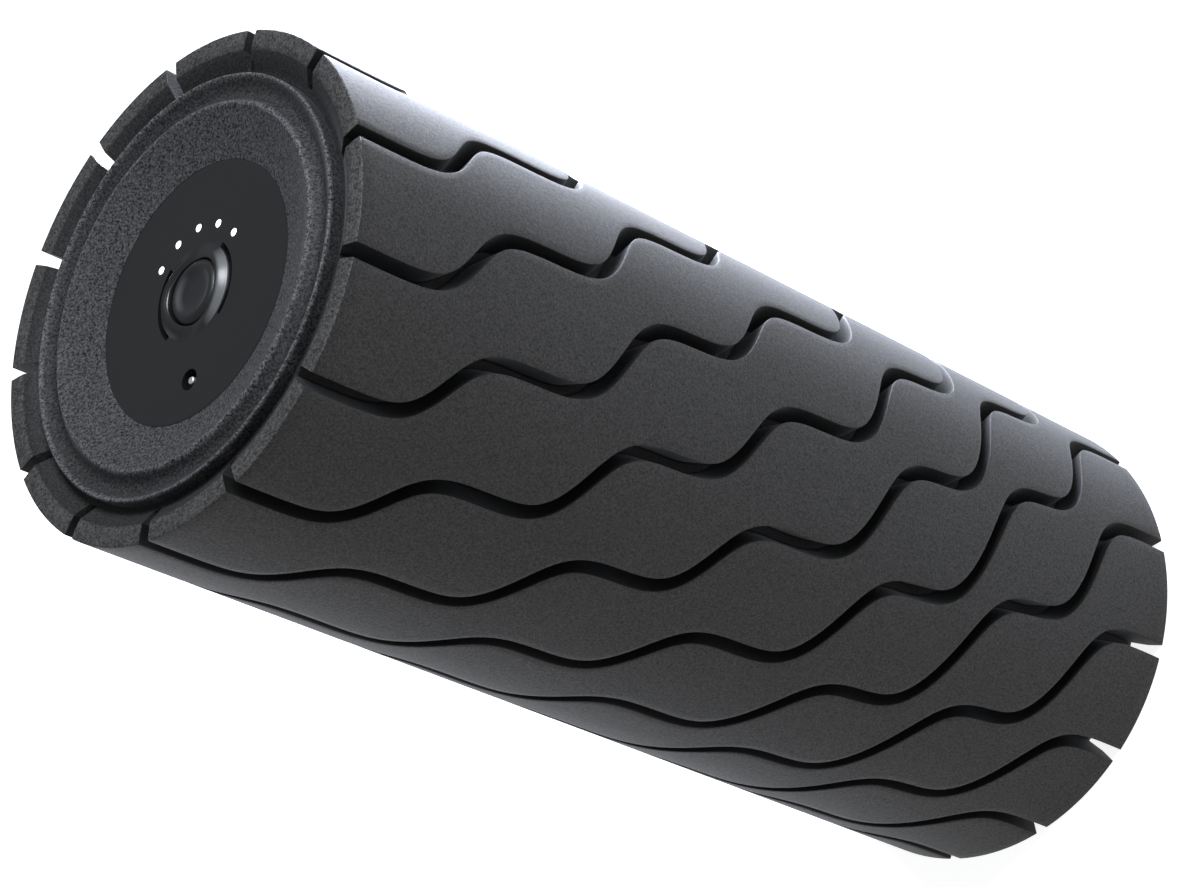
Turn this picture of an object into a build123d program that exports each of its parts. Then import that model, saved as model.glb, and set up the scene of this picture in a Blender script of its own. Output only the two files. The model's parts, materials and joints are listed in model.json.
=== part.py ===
"""Vibrating foam roller.

A grooved foam sleeve covers a rigid core tube. The tube holds a chassis with a battery pack
and a motor that spins two eccentric weights. One end carries the control panel.

Frame: millimetres. +Z runs along the roller's axis towards the control panel, and the roller
stands on its plain end. +Y is the panel's "up" side, where its row of indicator lights is.
The origin is the middle of the plain end.
"""

import os
from math import cos, degrees, hypot, radians, sin, tanh

from build123d import *

# ---------------------------------------------------------------- driving dimensions
LENGTH = 304.0              # over both ends, 12 inches
TREAD_RADIUS = 66.0         # outside of the foam tread
GROOVES = 13
GROOVE_FLOOR = 56.4         # radius of the groove floors
GROOVE_MOUTH = 4.2          # groove width across its own path, at the surface
GROOVE_FLOOR_WIDTH = 3.1
# Each wave turns a groove round the axis: (distance from the control end, turn in degrees).
WAVES = ((36.9, 19.1), (87.2, 23.5), (134.2, 22.5), (183.5, 28.4), (227.5, 35.3), (270.3, 31.1))
WAVE_SOFTNESS = 8.3         # length over which one wave turns
GROOVE_START = 42.1         # angle of one groove at the control end, in degrees
TREAD_SLABS = 16            # the tread is lofted slab by slab
SLAB_STEPS = 4              # cross-section steps in each slab

CORE_RADIUS = 44.0
CORE_WALL = 4.0
RING_DEPTH = 12.0           # how deep an end ring sits in the sleeve
RING_RADIUS = 55.0          # end ring against the sleeve
SLOPE_RADIUS = 60.5         # inner edge of the flat end land
SLOPE_DEPTH = 3.6

PANEL_RADIUS = 34.2
PANEL_RECESS = 5.0          # panel face below the end plane
PANEL_THICKNESS = 2.5
FLANGE_THICKNESS = 3.0
HUB_DEPTH = 24.0            # spigot length inside the core tube
HUB_WALL = 3.4
CLEARANCE = 0.1             # radial gap between nested pieces

BUTTON_RADIUS = 8.4
BUTTON_GAP = 0.3
BUTTON_PROUD = 1.0
BUTTON_TRAVEL = 0.6
COLLAR_RADIUS = 12.4
COLLAR_HEIGHT = 0.6
SLOT_OUTER = 13.9
SLOT_DEPTH = 1.2
SLOT_HALF_ANGLE = 44.0
LIGHTS = 5
LIGHT_STEP = 25.5           # degrees between lights
LIGHT_CIRCLE = 17.6
LIGHT_RADIUS = 1.15
JACK_Y = -23.7
JACK_BORE = 2.75            # 5.5 mm barrel socket
JACK_PIN = 1.0
JACK_PIN_TAIL = 0.8          # the part riveted through the socket's floor
JACK_DEPTH = 9.5
JACK_BODY = 9.0
BOARD_RADIUS = 30.0
BOARD_THICKNESS = 1.6
BOSS_CIRCLE = 26.5

CHASSIS_WALL = 2.6
BOSS_X = 31.0               # chassis screw bosses, each side of the axis
BOSS_RADIUS = 4.0
CHASSIS_SCREW_HEIGHTS = (75.0, 175.0, 240.0)
PLATE_THICKNESS = 8.0       # motor mounts
HOLDER_THICKNESS = 10.0     # cell holders
LEAD_RADIUS = 0.9
LEAD_CIRCLE = 27.0

CELL_RADIUS = 9.2           # 18650 cells
CELL_LENGTH = 65.0
CELL_OFFSET = 9.6
CELL_BOTTOM = 46.0
LINK_THICKNESS = 0.3

MOTOR_RADIUS = 18.0
MOTOR_BOTTOM = 148.0
MOTOR_LENGTH = 54.0
MOTOR_WALL = 1.2
SHAFT_RADIUS = 2.0
SHAFT_FIT = 0.03            # radial running gap in the bearings
BEARING_RADIUS = 4.5
NOSE_RADIUS = 6.0
NOSE_LENGTH = 3.5
WEIGHT_RADIUS = 16.0
WEIGHT_THICKNESS = 14.0
WEIGHT_GAP = 4.5            # from a motor nose to its weight
ARMATURE_RADIUS = 12.8
ARMATURE_SLOTS = 5

# ---------------------------------------------------------------- worked-out dimensions
CORE_BORE = CORE_RADIUS - CORE_WALL
CORE_BOTTOM = RING_DEPTH
CORE_TOP = LENGTH - RING_DEPTH
PANEL_TOP = LENGTH - PANEL_RECESS
PANEL_BACK = PANEL_TOP - PANEL_THICKNESS
FLANGE_TOP = CORE_TOP + FLANGE_THICKNESS
FLANGE_INNER = PANEL_RADIUS - 1.7
SPIGOT_RADIUS = CORE_BORE - CLEARANCE
CHASSIS_BOTTOM = CORE_BOTTOM + HUB_DEPTH
CHASSIS_TOP = CORE_TOP - HUB_DEPTH
CHASSIS_RADIUS = CORE_BORE - 2 * CLEARANCE
CHASSIS_BORE = CHASSIS_RADIUS - CHASSIS_WALL
PLATE_RADIUS = CHASSIS_BORE - CLEARANCE
BOARD_TOP = PANEL_BACK - 5.5
BOARD_BOTTOM = BOARD_TOP - BOARD_THICKNESS
CELL_TOP = CELL_BOTTOM + CELL_LENGTH
WEB = HOLDER_THICKNESS - 6.0
MOTOR_TOP = MOTOR_BOTTOM + MOTOR_LENGTH
LOWER_MOUNT = MOTOR_BOTTOM + 4.0
UPPER_MOUNT = MOTOR_TOP - 4.0 - PLATE_THICKNESS
LOWER_WEIGHT = MOTOR_BOTTOM - NOSE_LENGTH - WEIGHT_GAP - WEIGHT_THICKNESS
UPPER_WEIGHT = MOTOR_TOP + NOSE_LENGTH + WEIGHT_GAP
CAN_BORE = MOTOR_RADIUS - MOTOR_WALL
BELL_THICKNESS = 3.5
BELL_BOTTOM = MOTOR_TOP - BELL_THICKNESS
CORE_STACK = (MOTOR_BOTTOM + 12.0, MOTOR_BOTTOM + 36.0)
COMMUTATOR = (BELL_BOTTOM - 7.1, BELL_BOTTOM - 0.8)
COMMUTATOR_RADIUS = 4.2
SWITCH_TOP = BOARD_TOP + 3.2
BUTTON_BACK = PANEL_BACK - 1.3


# ---------------------------------------------------------------- shared helpers
def save(piece, name):
    """Name a finished piece and write it to its own STEP file."""
    piece.part.label = name
    export_step(piece.part, f"parts/{name}.step")


def polar(radius, angle):
    """Return the point at a radius and an angle in degrees."""
    return (radius * cos(radians(angle)), radius * sin(radians(angle)))


def ring(outer, inner, low, high, mode=Mode.ADD, centre=(0, 0)):
    """Add or cut a ring, or a disc where inner is 0, between two heights."""
    with BuildSketch(Plane.XY.offset(low)) as section:
        with Locations(centre):
            Circle(outer)
            if inner:
                Circle(inner, mode=Mode.SUBTRACT)
    extrude(section.sketch, amount=high - low, mode=mode)


def block(size_x, size_y, low, high, mode=Mode.ADD, centre=(0, 0)):
    """Add or cut an upright rectangular block between two heights."""
    with BuildSketch(Plane.XY.offset(low)) as section:
        with Locations(centre):
            Rectangle(size_x, size_y)
    extrude(section.sketch, amount=high - low, mode=mode)


def arc_band(outer, inner, middle, half_angle, low, high, mode=Mode.ADD):
    """Add or cut a band that follows an arc about the axis, between two heights."""
    with BuildSketch(Plane.XY.offset(low)) as section:
        with BuildLine():
            CenterArc((0, 0), outer, middle - half_angle, 2 * half_angle)
            Line(polar(outer, middle + half_angle), polar(inner, middle + half_angle))
            CenterArc((0, 0), inner, middle - half_angle, 2 * half_angle)
            Line(polar(inner, middle - half_angle), polar(outer, middle - half_angle))
        make_face()
    extrude(section.sketch, amount=high - low, mode=mode)


def screw(head_radius, head_height, shank_radius, length):
    """Add a screw: its head's seat is on the current location, and its shank runs along -Z."""
    Cylinder(head_radius, head_height, align=(Align.CENTER, Align.CENTER, Align.MIN))
    Cylinder(shank_radius, length, align=(Align.CENTER, Align.CENTER, Align.MAX))


os.makedirs("parts", exist_ok=True)


# ---------------------------------------------------------------- foam tread and end rings
def groove_turn(height):
    """Return how far the grooves have turned at a height, in degrees."""
    distance = LENGTH - height
    return sum(turn * (1 + tanh((distance - middle) / WAVE_SOFTNESS)) / 2 for middle, turn in WAVES)


def groove_half_angle(height, radius, width):
    """Return half the angle that a groove takes up in a level cross-section."""
    step = 0.05
    turn_rate = radians(groove_turn(height - step) - groove_turn(height + step)) / (2 * step)
    return degrees(width / 2 * hypot(1, radius * turn_rate) / radius)


def tread_outline(height):
    """Return the edges of the grooved cross-section at a height."""
    edges = []
    pitch = 360 / GROOVES
    mouth = groove_half_angle(height, TREAD_RADIUS, GROOVE_MOUTH)
    floor = groove_half_angle(height, GROOVE_FLOOR, GROOVE_FLOOR_WIDTH)
    for number in range(GROOVES):
        middle = GROOVE_START + groove_turn(height) + number * pitch
        edges.append(Line(polar(TREAD_RADIUS, middle - mouth), polar(GROOVE_FLOOR, middle - floor),
                          mode=Mode.PRIVATE))
        edges.append(CenterArc((0, 0), GROOVE_FLOOR, middle - floor, 2 * floor, mode=Mode.PRIVATE))
        edges.append(Line(polar(GROOVE_FLOOR, middle + floor), polar(TREAD_RADIUS, middle + mouth),
                          mode=Mode.PRIVATE))
        edges.append(CenterArc((0, 0), TREAD_RADIUS, middle + mouth, pitch - 2 * mouth,
                               mode=Mode.PRIVATE))
    return edges


# The tread is lofted in short slabs, so that each of its faces stays small.
slabs = []
for slab_number in range(TREAD_SLABS):
    with BuildPart() as slab:
        for step in range(SLAB_STEPS + 1):
            section_height = LENGTH * (slab_number * SLAB_STEPS + step) / (TREAD_SLABS * SLAB_STEPS)
            with BuildSketch(Plane.XY.offset(section_height)):
                with BuildLine():
                    add(tread_outline(section_height))
                make_face()
        loft(clean=False)
    slabs.append(slab.part)

with BuildPart() as tread_sleeve:
    add(slabs, clean=False)
    # One cut opens the bore, both counterbores and the sloped inner edge of each end.
    with BuildSketch(Plane.XZ):
        with BuildLine():
            Polyline(
                (0, 0),
                (SLOPE_RADIUS, 0),
                (RING_RADIUS, SLOPE_DEPTH),
                (RING_RADIUS, CORE_BOTTOM),
                (CORE_RADIUS + CLEARANCE, CORE_BOTTOM),
                (CORE_RADIUS + CLEARANCE, CORE_TOP),
                (RING_RADIUS, CORE_TOP),
                (RING_RADIUS, LENGTH - SLOPE_DEPTH),
                (SLOPE_RADIUS, LENGTH),
                (0, LENGTH),
                close=True,
            )
        make_face()
    revolve(axis=Axis.Z, mode=Mode.SUBTRACT)
save(tread_sleeve, "tread_sleeve")


def ring_profile(end_plane, inward):
    """Return the section outline of an end ring as (radius, height) points.

    inward is -1 where the ring sits below its end plane and +1 where it sits above it.
    """
    outer = RING_RADIUS - CLEARANCE
    inner = PANEL_RADIUS + CLEARANCE
    depths = (
        (inner, PANEL_RECESS),
        (45.4, 0.35),
        (46.2, 0.0),
        (47.0, 0.35),
        (48.4, 1.7),
        (49.4, 2.1),
        (50.5, 1.7),
        (52.1, 0.35),
        (52.9, 0.0),
        (53.6, 0.4),
        (outer, SLOPE_DEPTH),
        (outer, RING_DEPTH),
        (CORE_RADIUS, RING_DEPTH),
        (CORE_RADIUS, RING_DEPTH - FLANGE_THICKNESS),
        (inner, RING_DEPTH - FLANGE_THICKNESS),
    )
    return [(radius, end_plane + inward * depth) for radius, depth in depths]


with BuildPart() as end_ring_control:
    with BuildSketch(Plane.XZ):
        with BuildLine():
            Polyline(*ring_profile(LENGTH, -1), close=True)
        make_face()
    revolve(axis=Axis.Z)
save(end_ring_control, "end_ring_control")

with BuildPart() as end_ring_plain:
    with BuildSketch(Plane.XZ):
        with BuildLine():
            Polyline(*ring_profile(0, 1), close=True)
        make_face()
    revolve(axis=Axis.Z)
save(end_ring_plain, "end_ring_plain")

# ---------------------------------------------------------------- core tube and its hubs
CORE_SCREW_HEIGHTS = (CORE_BOTTOM + 12.0, CORE_TOP - 12.0)
CORE_SCREW_ANGLES = (45, 135, 225, 315)
CORE_SCREW_SHANK = 1.5
CORE_SCREW_HEAD = 3.0
CORE_SCREW_SEAT = CORE_RADIUS - 2.0


def radial_planes(radius, height):
    """Return the planes that face outwards at the core screws' places."""
    planes = []
    for angle in CORE_SCREW_ANGLES:
        x, y = polar(radius, angle)
        planes.append(Plane(origin=(x, y, height), z_dir=(x, y, 0)))
    return planes


with BuildPart() as core_tube:
    ring(CORE_RADIUS, CORE_BORE, CORE_BOTTOM, CORE_TOP)
    for screw_height in CORE_SCREW_HEIGHTS:
        with Locations(*radial_planes(CORE_SCREW_SEAT, screw_height)):
            Cylinder(CORE_SCREW_HEAD, 4, align=(Align.CENTER, Align.CENTER, Align.MIN),
                     mode=Mode.SUBTRACT)
            Cylinder(CORE_SCREW_SHANK, 4, align=(Align.CENTER, Align.CENTER, Align.MAX),
                     mode=Mode.SUBTRACT)
save(core_tube, "core_tube")

with BuildPart() as control_housing:
    ring(CORE_RADIUS - CLEARANCE, FLANGE_INNER, CORE_TOP, FLANGE_TOP)
    ring(SPIGOT_RADIUS, SPIGOT_RADIUS - HUB_WALL, CHASSIS_TOP, CORE_TOP)
    ring(SPIGOT_RADIUS - 1, 0, CHASSIS_TOP, CHASSIS_TOP + FLANGE_THICKNESS)
    for lead_angle in (60, 120, 240, 300):
        ring(3, 0, CHASSIS_TOP, CHASSIS_TOP + FLANGE_THICKNESS, Mode.SUBTRACT,
             polar(LEAD_CIRCLE, lead_angle))
    with Locations(*radial_planes(SPIGOT_RADIUS + 1, CORE_SCREW_HEIGHTS[1])):
        Cylinder(CORE_SCREW_SHANK, HUB_WALL + 3, align=(Align.CENTER, Align.CENTER, Align.MAX),
                 mode=Mode.SUBTRACT)
save(control_housing, "control_housing")

with BuildPart() as plain_hub:
    ring(CORE_RADIUS - CLEARANCE, FLANGE_INNER, CORE_BOTTOM - FLANGE_THICKNESS, CORE_BOTTOM)
    ring(SPIGOT_RADIUS, SPIGOT_RADIUS - HUB_WALL, CORE_BOTTOM, CHASSIS_BOTTOM)
    ring(SPIGOT_RADIUS - 1, 0, CHASSIS_BOTTOM - FLANGE_THICKNESS, CHASSIS_BOTTOM)
    with Locations(*radial_planes(SPIGOT_RADIUS + 1, CORE_SCREW_HEIGHTS[0])):
        Cylinder(CORE_SCREW_SHANK, HUB_WALL + 3, align=(Align.CENTER, Align.CENTER, Align.MAX),
                 mode=Mode.SUBTRACT)
save(plain_hub, "plain_hub")

with BuildPart() as core_screws:
    for screw_height in CORE_SCREW_HEIGHTS:
        with Locations(*radial_planes(CORE_SCREW_SEAT, screw_height)):
            screw(CORE_SCREW_HEAD - CLEARANCE, 1.6, CORE_SCREW_SHANK, 5.4)
save(core_screws, "core_screws")

with BuildPart() as plain_cap:
    ring(PANEL_RADIUS, 0, PANEL_RECESS, PANEL_RECESS + PANEL_THICKNESS)
    ring(PANEL_RADIUS, PANEL_RADIUS - 2.2, PANEL_RECESS + PANEL_THICKNESS,
         CORE_BOTTOM - FLANGE_THICKNESS)
    ring(BUTTON_RADIUS + 0.9, BUTTON_RADIUS, PANEL_RECESS, PANEL_RECESS + 0.5, Mode.SUBTRACT)
    fillet(plain_cap.edges().filter_by(GeomType.CIRCLE).group_by(Axis.Z)[0].sort_by(SortBy.RADIUS)[-1],
           0.5)
save(plain_cap, "plain_cap")

# ---------------------------------------------------------------- control panel
LIGHT_ANGLES = [90 + LIGHT_STEP * (number - (LIGHTS - 1) / 2) for number in range(LIGHTS)]
BOSS_ANGLES = (45, 135, 225, 315)
BOARD_SCREW_SHANK = 1.2

with BuildPart() as control_panel:
    ring(PANEL_RADIUS, 0, PANEL_BACK, PANEL_TOP)
    fillet(control_panel.edges().group_by(Axis.Z)[-1], 0.5)
    ring(PANEL_RADIUS, PANEL_RADIUS - 2.2, FLANGE_TOP, PANEL_BACK)
    with BuildSketch(Plane.XY.offset(PANEL_TOP)) as collar:
        Circle(COLLAR_RADIUS)
    extrude(collar.sketch, amount=COLLAR_HEIGHT, taper=45)
    ring(BUTTON_RADIUS + BUTTON_GAP, 0, PANEL_BACK, PANEL_TOP + COLLAR_HEIGHT, Mode.SUBTRACT)
    for slot_angle in (0, 180):
        arc_band(SLOT_OUTER, COLLAR_RADIUS, slot_angle, SLOT_HALF_ANGLE,
                 PANEL_TOP - SLOT_DEPTH, PANEL_TOP + COLLAR_HEIGHT, Mode.SUBTRACT)
    for light_angle in LIGHT_ANGLES:
        ring(LIGHT_RADIUS + CLEARANCE, 0, PANEL_BACK, PANEL_TOP, Mode.SUBTRACT,
             polar(LIGHT_CIRCLE, light_angle))
    ring(JACK_BORE, 0, PANEL_BACK, PANEL_TOP, Mode.SUBTRACT, (0, JACK_Y))
    for boss_angle in BOSS_ANGLES:
        ring(2.75, BOARD_SCREW_SHANK, BOARD_TOP, PANEL_BACK, centre=polar(BOSS_CIRCLE, boss_angle))
save(control_panel, "control_panel")

with BuildPart() as power_button:
    ring(BUTTON_RADIUS, 0, BUTTON_BACK, PANEL_TOP + BUTTON_PROUD)
    fillet(power_button.edges().group_by(Axis.Z)[-1], 0.4)
    ring(BUTTON_RADIUS + 1.2, 0, BUTTON_BACK, PANEL_BACK - CLEARANCE)
    with Locations((0, 0, PANEL_TOP + BUTTON_PROUD + 42.2)):
        Sphere(43, mode=Mode.SUBTRACT)
save(power_button, "power_button")

with BuildPart() as light_guides:
    arc_band(LIGHT_CIRCLE + 1.1, LIGHT_CIRCLE - 1.1, 90, LIGHT_STEP * (LIGHTS - 1) / 2 + 3.5,
             PANEL_BACK - 1.5, PANEL_BACK)
    for light_angle in LIGHT_ANGLES:
        ring(LIGHT_RADIUS, 0, BOARD_TOP + 1.4, PANEL_TOP, centre=polar(LIGHT_CIRCLE, light_angle))
save(light_guides, "light_guides")

# ---------------------------------------------------------------- control board
with BuildPart() as control_board:
    ring(BOARD_RADIUS, 0, BOARD_BOTTOM, BOARD_TOP)
    block(JACK_BODY + 0.4, JACK_BODY + 8, BOARD_BOTTOM, BOARD_TOP, Mode.SUBTRACT, (0, JACK_Y - 4))
    for boss_angle in BOSS_ANGLES:
        ring(BOARD_SCREW_SHANK + CLEARANCE, 0, BOARD_BOTTOM, BOARD_TOP, Mode.SUBTRACT,
             polar(BOSS_CIRCLE, boss_angle))
save(control_board, "control_board")

with BuildPart() as board_screws:
    for boss_angle in BOSS_ANGLES:
        x, y = polar(BOSS_CIRCLE, boss_angle)
        with Locations(Plane(origin=(x, y, BOARD_BOTTOM), z_dir=(0, 0, -1))):
            screw(2.2, 1.4, BOARD_SCREW_SHANK, BOARD_THICKNESS + 4.5)
save(board_screws, "board_screws")

with BuildPart() as status_leds:
    for light_angle in LIGHT_ANGLES:
        block(2.0, 1.3, BOARD_TOP, BOARD_TOP + 0.8, centre=polar(LIGHT_CIRCLE, light_angle))
save(status_leds, "status_leds")

with BuildPart() as control_chip:
    block(9, 9, BOARD_BOTTOM - 1.1, BOARD_BOTTOM)
save(control_chip, "control_chip")

with BuildPart() as switch_body:
    block(6.2, 6.2, BOARD_TOP, SWITCH_TOP)
    ring(1.8, 0, BOARD_TOP + 0.8, SWITCH_TOP, Mode.SUBTRACT)
save(switch_body, "switch_body")

with BuildPart() as switch_plunger:
    ring(1.7, 0, BOARD_TOP + 0.8 + BUTTON_TRAVEL + 0.3, BUTTON_BACK)
save(switch_plunger, "switch_plunger")

# ---------------------------------------------------------------- charging socket
JACK_FLOOR = PANEL_BACK - JACK_DEPTH
CONTACT_Y = JACK_Y + JACK_BORE

with BuildPart() as jack_body:
    block(JACK_BODY, JACK_BODY, JACK_FLOOR - 1.5, PANEL_BACK, centre=(0, JACK_Y))
    ring(JACK_BORE, 0, JACK_FLOOR, PANEL_BACK, Mode.SUBTRACT, (0, JACK_Y))
    ring(JACK_PIN_TAIL, 0, JACK_FLOOR - 1.5, JACK_FLOOR, Mode.SUBTRACT, (0, JACK_Y))
    block(1.8, 0.8, JACK_FLOOR - 1.5, PANEL_BACK - 1.5, Mode.SUBTRACT, (0, CONTACT_Y + 0.4))
save(jack_body, "jack_body")

with BuildPart() as jack_pin:
    ring(JACK_PIN_TAIL, 0, JACK_FLOOR - 3, JACK_FLOOR, centre=(0, JACK_Y))
    ring(JACK_PIN, 0, JACK_FLOOR, PANEL_TOP - 0.4, centre=(0, JACK_Y))
    fillet(jack_pin.edges().group_by(Axis.Z)[-1], 0.4)
save(jack_pin, "jack_pin")

with BuildPart() as jack_contact:
    block(1.8, 0.4, JACK_FLOOR - 3, PANEL_BACK - 1.5, centre=(0, CONTACT_Y + 0.6))
save(jack_contact, "jack_contact")

# ---------------------------------------------------------------- chassis
RIB_THICKNESS = 2.0
LOWER_HOLDER = (CELL_BOTTOM - WEB, CELL_BOTTOM + 6)
UPPER_HOLDER = (CELL_TOP - 6, CELL_TOP + WEB)
HELD_SPANS = (
    LOWER_HOLDER,
    UPPER_HOLDER,
    (LOWER_MOUNT, LOWER_MOUNT + PLATE_THICKNESS),
    (UPPER_MOUNT, UPPER_MOUNT + PLATE_THICKNESS),
)
CHASSIS_SHANK = 1.5
CHASSIS_SEAT = 6.0          # screw head seat above the joint plane
BOSS_TOP = 17.0


def half_shell(side):
    """Add one half of the chassis with its ribs and screw bosses; side is +1 or -1 in Y."""
    ring(CHASSIS_RADIUS, CHASSIS_BORE, CHASSIS_BOTTOM, CHASSIS_TOP)
    for low, high in HELD_SPANS:
        ring(CHASSIS_RADIUS - 1, CHASSIS_BORE - 3, low - RIB_THICKNESS, low)
        ring(CHASSIS_RADIUS - 1, CHASSIS_BORE - 3, high, high + RIB_THICKNESS)
    block(90, 90, CHASSIS_BOTTOM, CHASSIS_TOP, Mode.SUBTRACT, (0, -45 * side))
    for height in CHASSIS_SCREW_HEIGHTS:
        for x in (-BOSS_X, BOSS_X):
            with Locations(Plane(origin=(x, 0, height), z_dir=(0, side, 0))):
                Cylinder(BOSS_RADIUS, BOSS_TOP, align=(Align.CENTER, Align.CENTER, Align.MIN))


with BuildPart() as chassis_tray:
    half_shell(-1)
    for screw_height in CHASSIS_SCREW_HEIGHTS:
        for screw_x in (-BOSS_X, BOSS_X):
            with Locations(Plane(origin=(screw_x, 0, screw_height), z_dir=(0, -1, 0))):
                Cylinder(CHASSIS_SHANK, 12, align=(Align.CENTER, Align.CENTER, Align.MIN),
                         mode=Mode.SUBTRACT)
save(chassis_tray, "chassis_tray")

with BuildPart() as chassis_cover:
    half_shell(1)
    for screw_height in CHASSIS_SCREW_HEIGHTS:
        for screw_x in (-BOSS_X, BOSS_X):
            with Locations(Plane(origin=(screw_x, 0, screw_height), z_dir=(0, 1, 0))):
                Cylinder(CHASSIS_SHANK + 0.2, CHASSIS_SEAT,
                         align=(Align.CENTER, Align.CENTER, Align.MIN), mode=Mode.SUBTRACT)
            with Locations(Plane(origin=(screw_x, CHASSIS_SEAT, screw_height), z_dir=(0, 1, 0))):
                Cylinder(3.1, 40, align=(Align.CENTER, Align.CENTER, Align.MIN),
                         mode=Mode.SUBTRACT)
save(chassis_cover, "chassis_cover")

with BuildPart() as chassis_screws:
    for screw_height in CHASSIS_SCREW_HEIGHTS:
        for screw_x in (-BOSS_X, BOSS_X):
            with Locations(Plane(origin=(screw_x, CHASSIS_SEAT, screw_height), z_dir=(0, 1, 0))):
                screw(2.9, 2.4, CHASSIS_SHANK, CHASSIS_SEAT + 10)
save(chassis_screws, "chassis_screws")

# ---------------------------------------------------------------- motor and its mounts
for mount_name, mount_bottom in (("lower", LOWER_MOUNT), ("upper", UPPER_MOUNT)):
    with BuildPart() as motor_mount:
        ring(PLATE_RADIUS, MOTOR_RADIUS, mount_bottom, mount_bottom + PLATE_THICKNESS)
        for hole_angle in range(0, 360, 60):
            ring(5, 0, mount_bottom, mount_bottom + PLATE_THICKNESS, Mode.SUBTRACT,
                 polar(LEAD_CIRCLE + 0.5, hole_angle))
    save(motor_mount, f"motor_mount_{mount_name}")

with BuildPart() as motor_can:
    ring(MOTOR_RADIUS, 0, MOTOR_BOTTOM, MOTOR_TOP)
    fillet(motor_can.edges().group_by(Axis.Z)[0], 1.0)
    ring(CAN_BORE, 0, MOTOR_BOTTOM + MOTOR_WALL, MOTOR_TOP, Mode.SUBTRACT)
    ring(NOSE_RADIUS, 0, MOTOR_BOTTOM - NOSE_LENGTH, MOTOR_BOTTOM + MOTOR_WALL)
    ring(BEARING_RADIUS, 0, MOTOR_BOTTOM - NOSE_LENGTH, MOTOR_BOTTOM + MOTOR_WALL, Mode.SUBTRACT)
save(motor_can, "motor_can")

BRUSH_HEIGHT = (COMMUTATOR[0] + 1.2, COMMUTATOR[1] - 1.2)

with BuildPart() as motor_end_bell:
    ring(CAN_BORE, 0, BELL_BOTTOM, MOTOR_TOP)
    ring(NOSE_RADIUS, 0, MOTOR_TOP, MOTOR_TOP + NOSE_LENGTH)
    ring(BEARING_RADIUS, 0, BELL_BOTTOM, MOTOR_TOP + NOSE_LENGTH, Mode.SUBTRACT)
    for holder_x in (-9.0, 9.0):
        block(7, 6, COMMUTATOR[0], BELL_BOTTOM, centre=(holder_x, 0))
        block(7, 3, *BRUSH_HEIGHT, Mode.SUBTRACT, (holder_x, 0))
save(motor_end_bell, "motor_end_bell")

with BuildPart() as motor_brushes:
    for brush_x in (-7.25, 7.25):
        block(6, 3, *BRUSH_HEIGHT, centre=(brush_x, 0))
save(motor_brushes, "motor_brushes")

with BuildPart() as motor_magnets:
    for magnet_angle in (90, 270):
        arc_band(CAN_BORE, ARMATURE_RADIUS + 0.6, magnet_angle, 68,
                 CORE_STACK[0] - 2, CORE_STACK[1] + 2)
save(motor_magnets, "motor_magnets")

for bearing_name, bearing_span in (
    ("lower", (MOTOR_BOTTOM - NOSE_LENGTH, MOTOR_BOTTOM + MOTOR_WALL)),
    ("upper", (BELL_BOTTOM, MOTOR_TOP + NOSE_LENGTH)),
):
    with BuildPart() as motor_bearing:
        ring(BEARING_RADIUS, SHAFT_RADIUS + SHAFT_FIT, *bearing_span)
    save(motor_bearing, f"motor_bearing_{bearing_name}")

# ---------------------------------------------------------------- rotor
with BuildPart() as motor_shaft:
    ring(SHAFT_RADIUS, 0, LOWER_WEIGHT - 2, UPPER_WEIGHT + WEIGHT_THICKNESS + 2)
    chamfer(motor_shaft.edges().filter_by(GeomType.CIRCLE), 0.3)
save(motor_shaft, "motor_shaft")

with BuildPart() as armature_core:
    ring(ARMATURE_RADIUS, SHAFT_RADIUS, *CORE_STACK)
    for slot_number in range(ARMATURE_SLOTS):
        slot_angle = 360 / ARMATURE_SLOTS * slot_number
        arc_band(ARMATURE_RADIUS - 2, 6, slot_angle, 22, *CORE_STACK, Mode.SUBTRACT)
        arc_band(ARMATURE_RADIUS + 1, ARMATURE_RADIUS - 2.5, slot_angle, 4, *CORE_STACK,
                 Mode.SUBTRACT)
save(armature_core, "armature_core")

WINDING_OUTER = ARMATURE_RADIUS - 2 - CLEARANCE
WINDING_INNER = 6 + CLEARANCE
WINDING_SPAN = (CORE_STACK[0] - 3.5, CORE_STACK[1] + 3.5)

with BuildPart() as armature_windings:
    for slot_number in range(ARMATURE_SLOTS):
        arc_band(WINDING_OUTER, WINDING_INNER, 360 / ARMATURE_SLOTS * slot_number, 21.4,
                 *WINDING_SPAN)
    ring(WINDING_OUTER, WINDING_INNER, WINDING_SPAN[0], CORE_STACK[0])
    ring(WINDING_OUTER, WINDING_INNER, CORE_STACK[1], WINDING_SPAN[1])
save(armature_windings, "armature_windings")

with BuildPart() as commutator:
    ring(COMMUTATOR_RADIUS, SHAFT_RADIUS, *COMMUTATOR)
save(commutator, "commutator")

SET_SCREW = 1.5
WEIGHT_HUB = 6.5

for weight_name, weight_bottom in (("lower", LOWER_WEIGHT), ("upper", UPPER_WEIGHT)):
    weight_top = weight_bottom + WEIGHT_THICKNESS
    with BuildPart() as eccentric_weight:
        ring(WEIGHT_HUB, 0, weight_bottom, weight_top)
        arc_band(WEIGHT_RADIUS, WEIGHT_HUB - 1.5, 270, 75, weight_bottom, weight_top)
        ring(SHAFT_RADIUS, 0, weight_bottom, weight_top, Mode.SUBTRACT)
        with Locations(Plane(origin=(0, 0, weight_bottom + WEIGHT_THICKNESS / 2), z_dir=(0, 1, 0))):
            Cylinder(SET_SCREW, WEIGHT_HUB + 1, align=(Align.CENTER, Align.CENTER, Align.MIN),
                     mode=Mode.SUBTRACT)
    save(eccentric_weight, f"eccentric_weight_{weight_name}")

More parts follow.
